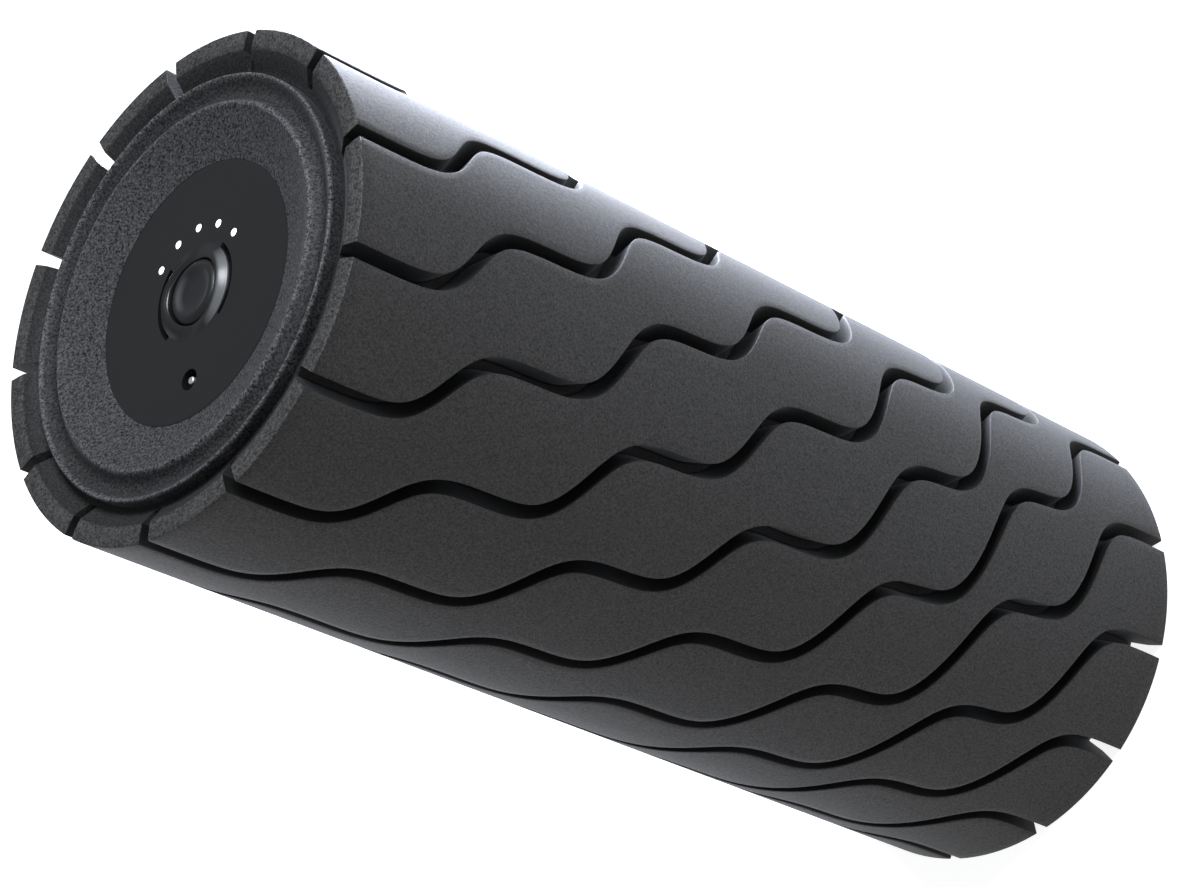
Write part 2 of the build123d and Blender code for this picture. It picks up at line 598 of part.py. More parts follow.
with BuildPart() as weight_set_screws:
    for weight_bottom in (LOWER_WEIGHT, UPPER_WEIGHT):
        screw_middle = weight_bottom + WEIGHT_THICKNESS / 2
        with Locations(Plane(origin=(0, SHAFT_RADIUS, screw_middle), z_dir=(0, 1, 0))):
            Cylinder(SET_SCREW, 4, align=(Align.CENTER, Align.CENTER, Align.MIN))
save(weight_set_screws, "weight_set_screws")

# ---------------------------------------------------------------- battery pack
CELL_PLACES = [(x, y) for x in (-CELL_OFFSET, CELL_OFFSET) for y in (-CELL_OFFSET, CELL_OFFSET)]
LINK_WIDTH = 8.0
LINK_LENGTH = 2 * CELL_OFFSET + LINK_WIDTH
PEG_PLACES = [(x, y) for x in (-16.5, 16.5) for y in (-6, 6)]
PEG_HEIGHT = 3.0
PROTECTION_BOTTOM = CELL_TOP + WEB + PEG_HEIGHT
PROTECTION_TOP = PROTECTION_BOTTOM + 1.2

for cell_number, cell_place in enumerate(CELL_PLACES, start=1):
    with BuildPart() as battery_cell:
        ring(CELL_RADIUS, 0, CELL_BOTTOM, CELL_TOP, centre=cell_place)
        fillet(battery_cell.edges().filter_by(GeomType.CIRCLE), 0.6)
    save(battery_cell, f"battery_cell_{cell_number}")

with BuildPart() as cell_holder_lower:
    ring(PLATE_RADIUS, 0, *LOWER_HOLDER)
    for cell_place in CELL_PLACES:
        ring(CELL_RADIUS + CLEARANCE, 0, CELL_BOTTOM, LOWER_HOLDER[1], Mode.SUBTRACT, cell_place)
    for link_y in (-CELL_OFFSET, CELL_OFFSET):
        block(LINK_LENGTH + 1, LINK_WIDTH + 1, LOWER_HOLDER[0], CELL_BOTTOM, Mode.SUBTRACT,
              (0, link_y))
save(cell_holder_lower, "cell_holder_lower")

with BuildPart() as cell_holder_upper:
    ring(PLATE_RADIUS, 0, *UPPER_HOLDER)
    for cell_place in CELL_PLACES:
        ring(CELL_RADIUS + CLEARANCE, 0, UPPER_HOLDER[0], CELL_TOP, Mode.SUBTRACT, cell_place)
    for link_x in (-CELL_OFFSET, CELL_OFFSET):
        block(LINK_WIDTH + 1, LINK_LENGTH + 1, CELL_TOP, UPPER_HOLDER[1], Mode.SUBTRACT,
              (link_x, 0))
    for peg_place in PEG_PLACES:
        ring(1.5, 0, UPPER_HOLDER[1], PROTECTION_BOTTOM, centre=peg_place)
save(cell_holder_upper, "cell_holder_upper")

with BuildPart() as cell_links_lower:
    for link_y in (-CELL_OFFSET, CELL_OFFSET):
        block(LINK_LENGTH, LINK_WIDTH, CELL_BOTTOM - LINK_THICKNESS, CELL_BOTTOM,
              centre=(0, link_y))
save(cell_links_lower, "cell_links_lower")

with BuildPart() as cell_links_upper:
    for link_x in (-CELL_OFFSET, CELL_OFFSET):
        block(LINK_WIDTH, LINK_LENGTH, CELL_TOP, CELL_TOP + LINK_THICKNESS, centre=(link_x, 0))
save(cell_links_upper, "cell_links_upper")

with BuildPart() as protection_board:
    block(38, 20, PROTECTION_BOTTOM, PROTECTION_TOP)
save(protection_board, "protection_board")


# ---------------------------------------------------------------- leads
def lead(name, start, angle):
    """Make a lead that runs level from its start, then straight up to the control board."""
    x, y = polar(LEAD_CIRCLE, angle)
    level = start[2]
    with BuildPart() as piece:
        with BuildLine() as path:
            FilletPolyline(start, (x, y, level), (x, y, BOARD_BOTTOM), radius=5)
        heading = Vector(x - start[0], y - start[1], 0)
        with BuildSketch(Plane(origin=start, z_dir=heading)):
            Circle(LEAD_RADIUS)
        sweep(path=path.wire())
    save(piece, name)


MOTOR_LEAD_LEVEL = MOTOR_TOP + LEAD_RADIUS
BATTERY_LEAD_LEVEL = PROTECTION_TOP + LEAD_RADIUS
lead("motor_lead_red", (*polar(12, 60), MOTOR_LEAD_LEVEL), 60)
lead("motor_lead_black", (*polar(12, 120), MOTOR_LEAD_LEVEL), 120)
lead("battery_lead_red", (8, -6, BATTERY_LEAD_LEVEL), 300)
lead("battery_lead_black", (-8, -6, BATTERY_LEAD_LEVEL), 240)
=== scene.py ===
"""Looks of the vibrating foam roller.

Foam tread and end rings, control panel, button cap and lenses, materials, light and camera.
"""

import json
from math import cos, hypot, pi, radians, sin, sqrt, tanh

import bpy
from mathutils import Matrix, Vector


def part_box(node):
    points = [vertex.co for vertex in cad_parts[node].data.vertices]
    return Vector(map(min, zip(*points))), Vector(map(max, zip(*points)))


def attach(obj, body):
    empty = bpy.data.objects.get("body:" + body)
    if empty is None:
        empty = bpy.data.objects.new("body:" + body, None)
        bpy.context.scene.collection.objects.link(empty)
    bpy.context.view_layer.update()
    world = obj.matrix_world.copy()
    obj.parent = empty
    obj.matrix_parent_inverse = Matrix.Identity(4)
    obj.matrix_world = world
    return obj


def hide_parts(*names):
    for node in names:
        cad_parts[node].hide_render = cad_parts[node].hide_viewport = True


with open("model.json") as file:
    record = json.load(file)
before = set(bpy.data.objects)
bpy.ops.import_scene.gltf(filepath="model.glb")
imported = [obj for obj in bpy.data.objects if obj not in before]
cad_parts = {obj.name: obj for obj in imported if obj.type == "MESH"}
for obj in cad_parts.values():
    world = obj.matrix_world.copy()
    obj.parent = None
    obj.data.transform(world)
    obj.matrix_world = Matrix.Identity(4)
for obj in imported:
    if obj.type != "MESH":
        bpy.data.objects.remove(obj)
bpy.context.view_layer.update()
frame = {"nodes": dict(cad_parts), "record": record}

MM = 0.001

# ------------------------------------------------ sizes taken from the frame, in millimetres
TREAD_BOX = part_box("tread_sleeve")
PANEL_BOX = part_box("control_panel")
RING_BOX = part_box("end_ring_control")
BUTTON_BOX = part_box("power_button")
LENGTH = TREAD_BOX[1][2] / MM
RING_RADIUS = (RING_BOX[1][0] - RING_BOX[0][0]) / 2 / MM
PANEL_RADIUS = (PANEL_BOX[1][0] - PANEL_BOX[0][0]) / 2 / MM
RING_DEPTH = LENGTH - RING_BOX[0][2] / MM

# The tread's design. It follows the CAD model, apart from the slope's edge and the groove section.
TREAD_RADIUS = 66.0
GROOVES = 13
GROOVE_START = 42.1         # angle of one groove at the control end, in degrees
# Each wave's middle, measured from the control end, and how far it turns, in degrees.
WAVES = ((36.9, 19.1), (87.2, 23.5), (134.2, 22.5), (183.5, 28.4), (227.5, 35.3), (270.3, 31.1))
WAVE_SOFTNESS = 8.3         # length over which one wave turns
BORE_RADIUS = 44.1
COUNTERBORE = 55.0
SLOPE_RADIUS = 60.8         # inner edge of the flat land, 0.3 further out than in the CAD model
SLOPE_DEPTH = 3.6
SLOPE_EASE = 0.6            # how far outside that edge the slope begins
SLOPE_CURVE = 0.8           # power that steepens the slope's start
RIM_ROUND = 0.45            # rounding of the tread's outer rim
ROW_STEP = 1.6              # spacing of mesh rows along the tread
LAND_COLUMNS = 12           # mesh columns between two grooves
BORE_ROWS = 24
END_GAP = 0.4               # from the slope's foot to the first full mesh row

# Half of a groove's section, from the middle of its floor to the surface: (offset, radius).
GROOVE_SECTION = (
    (0.0, 56.4),
    (1.05, 56.4),
    (1.3, 56.52),
    (1.42, 56.9),
    (1.5, 58.6),
    (1.62, 60.8),
    (1.74, 63.0),
    (1.84, 64.8),
    (1.87, 65.4),
    (1.9, 65.75),
    (1.96, 65.92),
    (2.1, 66.0),
)

# Control panel. Its island is higher and its slots are deeper than in the CAD model.
PANEL_TOP = LENGTH - 5.0
PANEL_BACK = PANEL_TOP - 2.5
FLANGE_THICKNESS = 3.0
SKIRT_FOOT = LENGTH - RING_DEPTH + FLANGE_THICKNESS
SKIRT_WALL = 2.2
BUTTON_HOLE = 8.7
BUTTON_RADIUS = 8.4
ISLAND_RADIUS = 12.9        # outer foot of the raised island round the button
ISLAND_CREST = 10.3
ISLAND_HEIGHT = 1.9
ISLAND_INNER_SHARE = 0.6    # the island's height at the button's hole, as a share of its crest
ISLAND_EASE = 0.45          # share of the outer ramp that is rounded
SLOT_OUTER = 13.9
SLOT_INNER = 12.5
SLOT_DEPTH = 2.2
SLOT_HALF_ANGLE = 44.0
SLOT_WALL = 0.14            # width of a slot's side wall
SLOT_END = 2.2              # angle over which a slot's end rises, in degrees
LIGHT_ANGLES = [90 + 25.5 * step for step in (-2, -1, 0, 1, 2)]
LIGHT_CIRCLE = 17.6
LIGHT_HOLE = 1.12
SOCKET_Y = -23.7
SOCKET_HOLE = 2.75


# ---------------------------------------------------------------- mesh helpers
def make_piece(name, points, faces, material, smooth_angle=40):
    """Make an object from points in millimetres, shaded smooth up to an angle."""
    mesh = bpy.data.meshes.new(name)
    mesh.from_pydata([Vector(point) * MM for point in points], [], faces)
    mesh.validate()
    mesh.materials.append(material)
    mesh.set_sharp_from_angle(angle=radians(smooth_angle))
    for polygon in mesh.polygons:
        polygon.use_smooth = True
    piece = bpy.data.objects.new(name, mesh)
    bpy.context.scene.collection.objects.link(piece)
    return piece


def polar_point(radius, angle, height):
    """Return the point at a radius, an angle in radians and a height."""
    return (radius * cos(angle), radius * sin(angle), height)


def revolve(name, profile, columns, material, smooth_angle=40):
    """Turn a closed outline of (radius, height) points round the roller's axis."""
    points = []
    faces = []
    count = len(profile)
    for column in range(columns):
        angle = 2 * pi * column / columns
        points += [polar_point(radius, angle, height) for radius, height in profile]
        after = (column + 1) % columns
        for index in range(count):
            following = (index + 1) % count
            faces.append((column * count + index, after * count + index,
                          after * count + following, column * count + following))
    return make_piece(name, points, faces, material, smooth_angle)


def smooth_step(value):
    """Ease from 0 to 1 as value goes from 0 to 1."""
    value = min(max(value, 0.0), 1.0)
    return value * value * (3 - 2 * value)


# ---------------------------------------------------------------- materials
def new_material(name, colour, roughness, metallic=0.0, specular=0.5):
    """Return a principled material and its shader node."""
    material = bpy.data.materials.new(name)
    material.use_nodes = True
    shader = material.node_tree.nodes["Principled BSDF"]
    shader.inputs["Base Color"].default_value = (*colour, 1)
    shader.inputs["Roughness"].default_value = roughness
    shader.inputs["Metallic"].default_value = metallic
    shader.inputs["Specular IOR Level"].default_value = specular
    material.diffuse_color = (*colour, 1)
    return material, shader


def add_noise(material, scale, detail=3.0, roughness=0.6, stretch=None):
    """Add a noise texture in object space and return its factor output."""
    nodes = material.node_tree.nodes
    links = material.node_tree.links
    place = nodes.new("ShaderNodeTexCoord")
    noise = nodes.new("ShaderNodeTexNoise")
    noise.inputs["Scale"].default_value = scale
    noise.inputs["Detail"].default_value = detail
    noise.inputs["Roughness"].default_value = roughness
    source = place.outputs["Object"]
    if stretch:
        mapping = nodes.new("ShaderNodeMapping")
        mapping.inputs["Scale"].default_value = stretch
        links.new(source, mapping.inputs["Vector"])
        source = mapping.outputs["Vector"]
    links.new(source, noise.inputs["Vector"])
    return noise.outputs["Fac"]


def spread(material, source, low, high, out_low, out_high):
    """Remap a factor from low..high to out_low..out_high."""
    remap = material.node_tree.nodes.new("ShaderNodeMapRange")
    for socket, value in (
        ("From Min", low),
        ("From Max", high),
        ("To Min", out_low),
        ("To Max", out_high),
    ):
        remap.inputs[socket].default_value = value
    material.node_tree.links.new(source, remap.inputs["Value"])
    return remap.outputs["Result"]


def blend_colours(material, factor, dark, light):
    """Mix two colours by a factor and return the colour output."""
    mix = material.node_tree.nodes.new("ShaderNodeMix")
    mix.data_type = "RGBA"
    mix.inputs[6].default_value = (*dark, 1)
    mix.inputs[7].default_value = (*light, 1)
    material.node_tree.links.new(factor, mix.inputs[0])
    return mix.outputs[2]


def calculate(material, operation, first, second):
    """Combine two sockets or numbers with a maths node and return its output."""
    node = material.node_tree.nodes.new("ShaderNodeMath")
    node.operation = operation
    for socket, value in zip(node.inputs, (first, second)):
        if isinstance(value, bpy.types.NodeSocket):
            material.node_tree.links.new(value, socket)
        else:
            socket.default_value = value
    return node.outputs["Value"]


def multiply(material, first, second):
    """Multiply two factors."""
    return calculate(material, "MULTIPLY", first, second)


def foam_place(material):
    """Return a point's distance from the axis and from the nearer end, in metres."""
    nodes = material.node_tree.nodes
    links = material.node_tree.links
    place = nodes.new("ShaderNodeTexCoord")
    split = nodes.new("ShaderNodeSeparateXYZ")
    links.new(place.outputs["Object"], split.inputs["Vector"])
    squares = [multiply(material, split.outputs[axis], split.outputs[axis]) for axis in ("X", "Y")]
    radius = calculate(material, "SQRT", calculate(material, "ADD", *squares), 0.0)
    half = LENGTH * MM / 2
    above_middle = calculate(material, "SUBTRACT", split.outputs["Z"], half)
    from_middle = calculate(material, "ABSOLUTE", above_middle, 0.0)
    return radius, calculate(material, "SUBTRACT", half, from_middle)


# Painted shade and light by place: pairs are radii, or depths below the end plane, in millimetres.
# painted shade: the grooves' walls and floors are darkened in the colour
GROOVE_RADII = (65.7, 65.96)        # a groove's wall goes from shade to full tone
GROOVE_PAINTED_SHADE = 0.05
SLOPE_RADII = (60.5, 61.0)          # the slope's tone fades out towards the land
SLOPE_DEPTHS = (3.6, 3.9)           # and below the slope's foot
SLOPE_TONE = 1.2
LAND_DEPTHS = (0.35, 0.12)          # the flat face of the end lands fades in
END_LAND_TONE = 3.7
# painted highlights on an end ring's crests and painted shade in its troughs
TROUGH_DEPTHS = (0.04, 1.0)         # an end ring goes from its crests to its troughs
CREST_PAINTED_HIGHLIGHT = 1.75
TROUGH_PAINTED_SHADE = 0.5
DISH_EDGE_RADII = (46.2, 46.9)      # that change begins outside the dish


def tread_painted_shade(material, radius, below_end):
    """Painted shade in the grooves, with the sloped rim kept out of it, and paler end lands."""
    # painted shade in the grooves, with the sloped rim lifted out of it
    groove = spread(material, radius, GROOVE_RADII[0] * MM, GROOVE_RADII[1] * MM,
                    GROOVE_PAINTED_SHADE, 1.0)
    slope = multiply(
        material,
        spread(material, radius, SLOPE_RADII[0] * MM, SLOPE_RADII[1] * MM, SLOPE_TONE, 0.0),
        spread(material, below_end, SLOPE_DEPTHS[0] * MM, SLOPE_DEPTHS[1] * MM, 1.0, 0.0),
    )
    hollow_painted_shade = calculate(material, "MAXIMUM", groove, slope)
    end_face = spread(material, below_end, LAND_DEPTHS[0] * MM, LAND_DEPTHS[1] * MM, 0.0, 1.0)
    paler = multiply(material, end_face, calculate(material, "SUBTRACT", END_LAND_TONE, hollow_painted_shade))
    return calculate(material, "ADD", hollow_painted_shade, paler)


def ring_painted_shade_and_highlight(material, radius, below_end):
    """Painted shade in the troughs and painted highlights on the crests, outside the dish."""
    # painted highlight on the crests, painted shade in the troughs
    painted_crest_and_trough = spread(material, below_end, TROUGH_DEPTHS[0] * MM, TROUGH_DEPTHS[1] * MM,
                    CREST_PAINTED_HIGHLIGHT, TROUGH_PAINTED_SHADE)
    outside = spread(material, radius, DISH_EDGE_RADII[0] * MM, DISH_EDGE_RADII[1] * MM, 0.0, 1.0)
    change = multiply(material, outside, calculate(material, "SUBTRACT", painted_crest_and_trough, 1.0))
    return calculate(material, "ADD", 1.0, change)


def tint(colour, amount):
    """Return a colour scaled by an amount."""
    return tuple(channel * amount for channel in colour)


def add_bump(material, shader, source, strength, distance, under=None):
    """Add a bump layer over an earlier one and return its normal output."""
    bump = material.node_tree.nodes.new("ShaderNodeBump")
    bump.inputs["Strength"].default_value = strength
    bump.inputs["Distance"].default_value = distance
    material.node_tree.links.new(source, bump.inputs["Height"])
    if under:
        material.node_tree.links.new(under, bump.inputs["Normal"])
    material.node_tree.links.new(bump.outputs["Normal"], shader.inputs["Normal"])
    return bump.outputs["Normal"]


FOAM_ROUGHNESS = 0.66
FOAM_SPECULAR = 0.28
FOAM_SHEEN = 0.11
FOAM_SHEEN_TINT = (0.85, 0.9, 1.0, 1)
CLOUD_SCALE = 28.0
BASE_GRAIN = 0.38           # scale of the coarser relief, as a share of the beads' scale


def foam(name, colour, grain, contrast, depth, painted_shading):
    """Closed-cell foam: fine beads in colour and relief, over slow cloudy changes.

    The last argument takes (material, radius, below_end) and returns a factor that scales the
    base colour: painted shade in hollows, painted highlights on crests, and paler end lands.
    """
    material, shader = new_material(name, colour, FOAM_ROUGHNESS, specular=FOAM_SPECULAR)
    shader.inputs["Sheen Weight"].default_value = FOAM_SHEEN
    shader.inputs["Sheen Roughness"].default_value = 0.3
    shader.inputs["Sheen Tint"].default_value = FOAM_SHEEN_TINT
    links = material.node_tree.links
    beads = add_noise(material, grain, detail=2.0, roughness=0.8)
    cloud = add_noise(material, CLOUD_SCALE, detail=2.0)
    speckle = spread(material, beads, 0.36, 0.66, 0.0, 1.0)
    mixed = blend_colours(material, speckle, tint(colour, 1 - contrast),
                          tint(colour, 1 + contrast))
    # painted shade and highlights by place, multiplied into the base colour
    painted_shade_factor = painted_shading(material, *foam_place(material))
    shade = multiply(material, spread(material, cloud, 0.3, 0.7, 0.92, 1.08), painted_shade_factor)
    scale = material.node_tree.nodes.new("ShaderNodeVectorMath")
    scale.operation = "SCALE"
    links.new(mixed, scale.inputs[0])
    links.new(shade, scale.inputs["Scale"])
    links.new(scale.outputs["Vector"], shader.inputs["Base Color"])
    links.new(spread(material, beads, 0.3, 0.7, 0.72, 0.58), shader.inputs["Roughness"])
    normal = add_bump(material, shader, beads, 0.5, depth)
    coarse = add_noise(material, grain * BASE_GRAIN, detail=1.0)
    add_bump(material, shader, coarse, 0.3, depth, normal)
    return material


SLOW_SCALE = 40.0           # slow changes of tone and gloss in plastic
PLASTIC_GRAIN = 900.0


def moulded(name, colour, roughness, grain=PLASTIC_GRAIN):
    """Moulded plastic: a fine spark-eroded grain with slight changes in gloss."""
    material, shader = new_material(name, colour, roughness)
    links = material.node_tree.links
    fine = add_noise(material, grain, detail=2.0)
    slow = add_noise(material, SLOW_SCALE, detail=2.0)
    links.new(spread(material, slow, 0.3, 0.7, roughness - 0.05, roughness + 0.05),
              shader.inputs["Roughness"])
    blend = spread(material, slow, 0.3, 0.7, 0.0, 1.0)
    links.new(blend_colours(material, blend, tint(colour, 0.93), tint(colour, 1.07)),
              shader.inputs["Base Color"])
    add_bump(material, shader, fine, 0.12, 0.00004)
    return material


def crescent(material, split, towards, width, rise, fall, amount):
    """Return a soft crescent of painted highlight round the roller's axis, as a factor.

    towards is its middle's direction in degrees, and width the cosines of the angles from there
    at which it is faded out and at full strength. rise and fall are the radii in millimetres
    over which it fades in and out.
    """
    x, y = split.outputs["X"], split.outputs["Y"]
    radius = calculate(material, "SQRT", calculate(material, "ADD", multiply(material, x, x),
                                                   multiply(material, y, y)), 0.0)
    along = calculate(material, "ADD", multiply(material, x, cos(radians(towards))),
                      multiply(material, y, sin(radians(towards))))
    arc = spread(material, calculate(material, "DIVIDE", along, radius), *width, 0.0, amount)
    inner = spread(material, radius, rise[0] * MM, rise[1] * MM, 0.0, 1.0)
    outer = spread(material, radius, fall[0] * MM, fall[1] * MM, 1.0, 0.0)
    return multiply(material, arc, multiply(material, inner, outer))


def panel_plastic(name, colour, highlight_tone, roughness, crescents):
    """Satin plastic with painted highlights: paler crescents on the slopes that face sideways."""
    material, shader = new_material(name, colour, roughness)
    nodes = material.node_tree.nodes
    links = material.node_tree.links
    slow = add_noise(material, SLOW_SCALE, detail=2.0)
    links.new(spread(material, slow, 0.3, 0.7, roughness - 0.04, roughness + 0.04),
              shader.inputs["Roughness"])
    place = nodes.new("ShaderNodeTexCoord")
    split = nodes.new("ShaderNodeSeparateXYZ")
    links.new(place.outputs["Object"], split.inputs["Vector"])
    # painted highlights: paler crescents, only at and above the panel's face
    ramp = 0.0
    for shape in crescents:
        ramp = calculate(material, "MAXIMUM", crescent(material, split, *shape), ramp)
    raised = spread(material, split.outputs["Z"], (PANEL_TOP - 0.4) * MM, PANEL_TOP * MM,
                    0.0, 1.0)
    links.new(blend_colours(material, multiply(material, ramp, raised), colour, highlight_tone),
              shader.inputs["Base Color"])
    add_bump(material, shader, add_noise(material, PLASTIC_GRAIN, detail=2.0), 0.1, 0.00003)
    return material


def metal(name, colour, roughness, stretch):
    """Machined or plated metal: fine lines along the tool's path."""
    material, shader = new_material(name, colour, roughness, metallic=1.0)
    links = material.node_tree.links
    lines = add_noise(material, 500.0, detail=3.0, stretch=stretch)
    links.new(spread(material, lines, 0.3, 0.7, roughness - 0.08, roughness + 0.1),
              shader.inputs["Roughness"])
    blend = spread(material, lines, 0.3, 0.7, 0.0, 1.0)
    links.new(blend_colours(material, blend, tint(colour, 0.85), colour),
              shader.inputs["Base Color"])
    add_bump(material, shader, lines, 0.08, 0.00003)
    return material


def glowing_lens(name):
    """White light guide, lit from behind."""
    material, shader = new_material(name, (0.9, 0.93, 1.0), 0.3)
    shader.inputs["Emission Color"].default_value = (0.93, 0.96, 1.0, 1)
    shader.inputs["Emission Strength"].default_value = 2.2
    faint = add_noise(material, 600.0)
    material.node_tree.links.new(spread(material, faint, 0.3, 0.7, 0.25, 0.4),
                                 shader.inputs["Roughness"])
    return material


TREAD_FOAM = foam("tread_foam", (0.0128, 0.0126, 0.0129), 1650.0, 0.8, 0.00016, tread_painted_shade)
RING_FOAM = foam("ring_foam", (0.041, 0.0416, 0.0445), 1500.0, 1.0, 0.0003, ring_painted_shade_and_highlight)
# Painted highlights: each crescent's direction, width, rise, fall and strength.
PANEL_PAINTED_HIGHLIGHTS = (
    (-10, (0.55, 0.85), (10.2, 11.0), (12.45, 12.6), 1.0),
    (205, (0.75, 0.97), (11.0, 11.8), (12.4, 12.55), 0.4),
)
BUTTON_PAINTED_HIGHLIGHTS = (
    (175, (0.45, 1.0), (4.0, 5.4), (5.8, 6.6), 0.42),
    (-12, (0.45, 1.0), (4.2, 5.6), (6.0, 6.8), 0.32),
)
# colour of the painted highlights
PAINTED_HIGHLIGHT_TONE = (0.11, 0.114, 0.118)
PANEL_PLASTIC = panel_plastic("panel_plastic", (0.0072, 0.0074, 0.0085), PAINTED_HIGHLIGHT_TONE, 0.31,
                              PANEL_PAINTED_HIGHLIGHTS)
BUTTON_PLASTIC = panel_plastic("button_plastic", (0.009, 0.0093, 0.0108), PAINTED_HIGHLIGHT_TONE, 0.33,
                               BUTTON_PAINTED_HIGHLIGHTS)

SLOT_MATERIALS = {
    "tread_foam": TREAD_FOAM,
    "ring_foam": RING_FOAM,
    "panel_plastic": PANEL_PLASTIC,
    "button_plastic": BUTTON_PLASTIC,
    "core_plastic": moulded("core_plastic", (0.03, 0.03, 0.032), 0.5),
    "light_lens": glowing_lens("light_lens"),
    "socket_plastic": moulded("socket_plastic", (0.006, 0.006, 0.007), 0.5),
    "board": moulded("board", (0.01, 0.09, 0.035), 0.35, grain=300.0),
    "component_plastic": moulded("component_plastic", (0.012, 0.012, 0.012), 0.55),
    "led": moulded("led", (0.8, 0.76, 0.5), 0.3),
    "chassis_plastic": moulded("chassis_plastic", (0.05, 0.05, 0.055), 0.5),
    "holder_plastic": moulded("holder_plastic", (0.035, 0.035, 0.038), 0.55),
    "magnet": moulded("magnet", (0.05, 0.045, 0.045), 0.6, grain=500.0),
    "carbon": moulded("carbon", (0.015, 0.015, 0.015), 0.6, grain=500.0),
    "cell_wrap": moulded("cell_wrap", (0.02, 0.12, 0.32), 0.25),
    "lead_red": moulded("lead_red", (0.45, 0.015, 0.012), 0.4),
    "lead_black": moulded("lead_black", (0.015, 0.015, 0.015), 0.4),
    "screw_steel": metal("screw_steel", (0.5, 0.5, 0.52), 0.35, (1, 1, 6)),
    "steel": metal("steel", (0.6, 0.61, 0.63), 0.3, (1, 1, 8)),
    "laminated_steel": metal("laminated_steel", (0.35, 0.36, 0.38), 0.4, (0.3, 0.3, 12)),
    "weight_steel": metal("weight_steel", (0.42, 0.42, 0.44), 0.38, (1, 1, 8)),
    "nickel": metal("nickel", (0.93, 0.93, 0.95), 0.45, (1, 1, 6)),
    "copper": metal("copper", (0.72, 0.33, 0.16), 0.35, (0.4, 0.4, 9)),
    "bronze": metal("bronze", (0.5, 0.36, 0.2), 0.45, (1, 1, 1)),
}

for subpart in frame["record"]["subparts"]:
    node_object = frame["nodes"][subpart["node"]]
    node_object.data.materials.clear()
    node_object.data.materials.append(SLOT_MATERIALS[subpart["material_slot"]])


# ---------------------------------------------------------------- foam tread
def groove_turn(height):
    """Return how far the grooves have turned at a height, in degrees."""
    distance = LENGTH - height
    return sum(turn * (1 + tanh((distance - middle) / WAVE_SOFTNESS)) / 2 for middle, turn in WAVES)


def groove_angle(height, number, offset, radius):
    """Return the angle of a point that lies an offset away from a groove's path, in radians."""
    step = 0.05
    turn_rate = radians(groove_turn(height - step) - groove_turn(height + step)) / (2 * step)
    middle = radians(GROOVE_START + groove_turn(height)) + 2 * pi * number / GROOVES
    return middle + offset * hypot(1, radius * turn_rate) / radius


def end_height(radius):
    """Return the height of the tread's end surface at a radius."""
    if radius > TREAD_RADIUS - RIM_ROUND:
        over = radius - (TREAD_RADIUS - RIM_ROUND)
        return LENGTH - RIM_ROUND + sqrt(max(RIM_ROUND ** 2 - over ** 2, 0))
    slope_start = SLOPE_RADIUS + SLOPE_EASE
    share = smooth_step((slope_start - radius) / (slope_start - COUNTERBORE))
    return LENGTH - SLOPE_DEPTH * share ** SLOPE_CURVE


